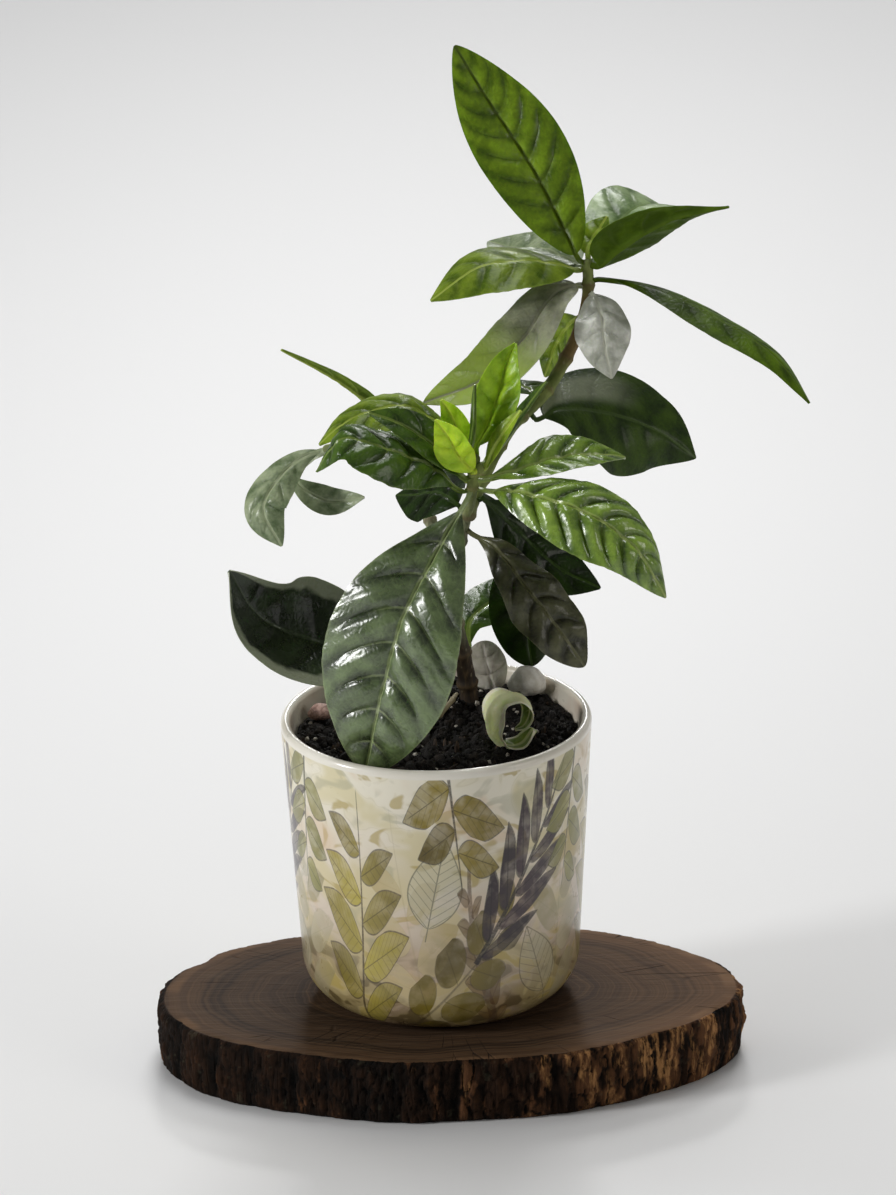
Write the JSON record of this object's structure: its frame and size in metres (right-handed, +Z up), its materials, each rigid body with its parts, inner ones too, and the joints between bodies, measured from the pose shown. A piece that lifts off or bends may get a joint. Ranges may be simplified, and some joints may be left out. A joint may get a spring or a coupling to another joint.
{
  "type": "potted gardenia",
  "caption": "Young gardenia with glossy ribbed leaves on a forked woody stem, in a round glazed planter of soil standing on an oval slice of wood with its bark.",
  "frame": {"origin": "on the planter's axis, at the underside of the wood slice that it all stands on", "axes": "+Z up along the planter's axis, +X to the right along the slice's long way, -Y towards the side where the big leaf hangs over the rim"},
  "size_m": [0.2243, 0.1564, 0.3392],
  "materials": {
    "bark_wood": "matte",
    "glaze": "gloss",
    "soil": "matte",
    "stem_bark": "matte",
    "leaf": "satin",
    "young_leaf": "satin",
    "fallen_leaf": "satin",
    "pebble": "matte"
  },
  "bodies": {
    "root": {"wood_slice": "bark_wood", "planter": "glaze", "soil": "soil", "stem": "stem_bark", "leaf_top_upright": "young_leaf", "leaf_top_back_right": "leaf", "leaf_top_right": "leaf", "leaf_top_young": "leaf", "leaf_top_left": "leaf", "leaf_top_back_left": "leaf", "leaf_top_right_long": "leaf", "leaf_top_hanging_left": "leaf", "leaf_top_hanging_front": "leaf", "leaf_top_hanging_back": "leaf", "leaf_middle_right": "leaf", "leaf_middle_back": "leaf", "leaf_front_hanging": "leaf", "leaf_front_right": "leaf", "leaf_front_right_upper": "leaf", "leaf_front_left": "leaf", "leaf_front_left_behind": "leaf", "leaf_front_left_inner": "leaf", "leaf_young_lime": "young_leaf", "leaf_young_behind": "young_leaf", "leaf_young_upright": "young_leaf", "leaf_young_thin": "young_leaf", "leaf_young_long": "young_leaf", "leaf_young_short": "young_leaf", "leaf_front_right_under": "leaf", "leaf_front_left_under": "leaf", "leaf_low_right": "leaf", "leaf_low_back_right": "leaf", "leaf_back_hanging": "leaf", "leaf_low_back": "leaf", "leaf_low_left_cupped": "leaf", "leaf_left_upright": "leaf", "leaf_left_hanging": "leaf", "leaf_left_inner": "leaf", "dropped_leaf_rolled": "fallen_leaf", "dropped_leaf_pale": "fallen_leaf", "stone_white": "pebble", "stone_pink": "pebble", "twig": "stem_bark"}
  },
  "joints": []
}
